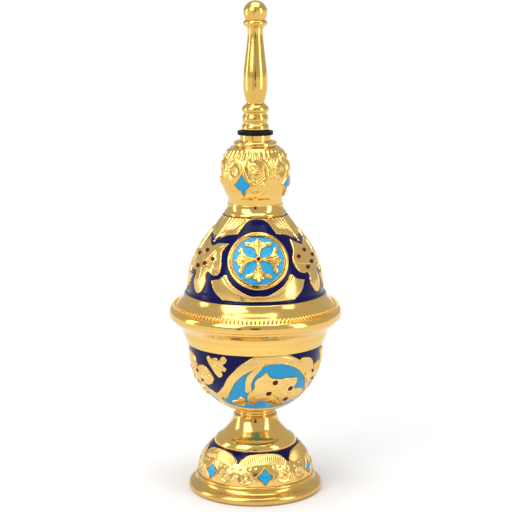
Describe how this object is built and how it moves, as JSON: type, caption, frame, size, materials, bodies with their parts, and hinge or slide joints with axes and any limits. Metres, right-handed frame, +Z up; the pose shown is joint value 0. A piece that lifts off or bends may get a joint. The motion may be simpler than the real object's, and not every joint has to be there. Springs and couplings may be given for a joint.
{
  "type": "holy water sprinkler",
  "caption": "Footed, enamelled brass holy water sprinkler: a round bowl and onion dome, a knop, and a slender ball-tipped spout that screws out of the neck for filling.",
  "frame": {"origin": "centre of the foot's resting face", "axes": "+Z up along the vessel's axis of turning; the front medallion faces -Y, turned 3 degrees towards +X"},
  "size_m": [0.0884, 0.0884, 0.25],
  "materials": {
    "gilt_brass": "polished",
    "turned_brass": "satin",
    "navy_enamel": "gloss",
    "sky_enamel": "gloss",
    "red_enamel": "gloss",
    "black_rubber": "matte",
    "zinc_steel": "satin"
  },
  "bodies": {
    "vessel": {"base_ring": "gilt_brass", "foot_bell": "turned_brass", "foot_petals": "gilt_brass", "foot_enamel": "navy_enamel", "foot_lozenge_frames": "gilt_brass", "foot_lozenges": "sky_enamel", "foot_cone": "gilt_brass", "stem_collar": "gilt_brass", "stem_stud": "zinc_steel", "stem_washer": "zinc_steel", "stem_nut": "zinc_steel", "bowl_shell": "turned_brass", "bowl_navy_enamel": "navy_enamel", "bowl_sky_enamel": "sky_enamel", "bowl_ribbon": "gilt_brass", "bowl_leaves": "gilt_brass", "bowl_sprigs": "gilt_brass", "rim_band": "gilt_brass", "flange_ring": "gilt_brass", "dome_shell": "turned_brass", "dome_enamel": "navy_enamel", "petal_collar": "gilt_brass", "medallion_rims": "gilt_brass", "medallion_discs": "sky_enamel", "medallion_crosses": "gilt_brass", "medallion_berries": "red_enamel", "crescents": "gilt_brass", "dome_leaves": "gilt_brass", "leaf_berries": "red_enamel", "neck_band": "gilt_brass", "knop_shell": "gilt_brass", "knop_lozenge_frames": "gilt_brass", "knop_lozenges": "sky_enamel", "knop_bead": "gilt_brass", "neck_bush": "turned_brass"},
    "gasket": {"sealing_washer": "black_rubber"},
    "spout": {"spout_fitting": "turned_brass", "spout_spindle": "gilt_brass", "spout_ring": "gilt_brass", "sprinkler_ball": "gilt_brass"}
  },
  "joints": [
    {"name": "spout_lift", "type": "slide", "parent": "vessel", "child": "gasket", "axis": [0, 0, 1], "range_m": [0, 0.0105]},
    {"name": "spout_turn", "type": "hinge", "parent": "gasket", "child": "spout", "pos_m": [0, 0, 0.185], "axis": [0, 0, 1], "range_deg": [0, 2520]}
  ],
  "couplings": [
    {"joint": "spout_turn", "follows": "spout_lift", "rad_per_m": 4188.8}
  ]
}
